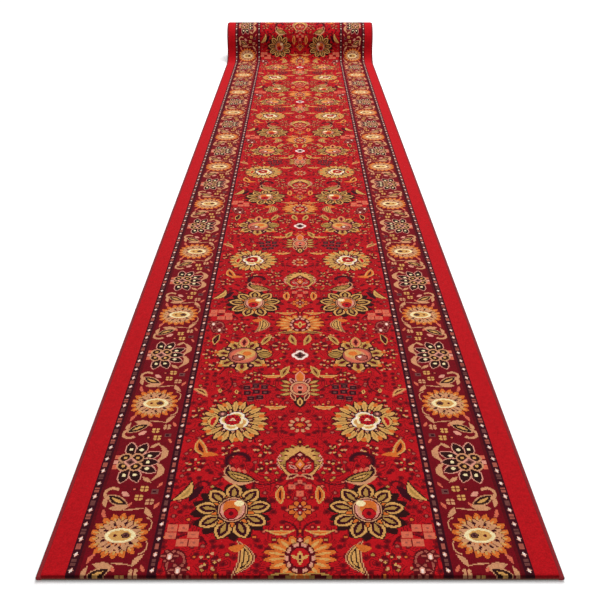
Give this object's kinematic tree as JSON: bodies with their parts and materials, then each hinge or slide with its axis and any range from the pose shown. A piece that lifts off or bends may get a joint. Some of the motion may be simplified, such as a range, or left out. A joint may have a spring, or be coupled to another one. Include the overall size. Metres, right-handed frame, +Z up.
{
  "type": "runner rug",
  "caption": "Long patterned hall runner with overlocked side edges, laid flat on the floor with its far end wound in a roll.",
  "frame": {"origin": "middle of the footprint's bounding box, on the floor under the runner", "axes": "+Y along the runner from its near edge to the roll, +X across it to the right as seen from the near edge, +Z up out of the floor"},
  "size_m": [0.8, 3.6916, 0.19],
  "materials": {
    "field_pile": "short dense cut pile, matt with a soft sheen",
    "border_pile": "short dense cut pile, matt with a soft sheen",
    "guard_pile": "short dense cut pile, matt with a soft sheen",
    "edge_band_pile": "short dense cut pile, matt with a soft sheen",
    "overlock_yarn": "thick spun yarn, matt",
    "ground_yarn": "coarse plain weave of jute-like yarn, matt",
    "latex": "dry foamed latex, matt",
    "backing_felt": "needled felt, matt"
  },
  "bodies": {
    "root": {"anti_slip_backing": "backing_felt", "latex_coat": "latex", "ground_weave": "ground_yarn", "pile_field": "field_pile", "pile_guard_inner_left": "guard_pile", "pile_guard_inner_right": "guard_pile", "pile_border_left": "border_pile", "pile_border_right": "border_pile", "pile_guard_outer_left": "guard_pile", "pile_guard_outer_right": "guard_pile", "pile_edge_band_left": "edge_band_pile", "pile_edge_band_right": "edge_band_pile", "overlock_left": "overlock_yarn", "overlock_right": "overlock_yarn"}
  },
  "joints": []
}
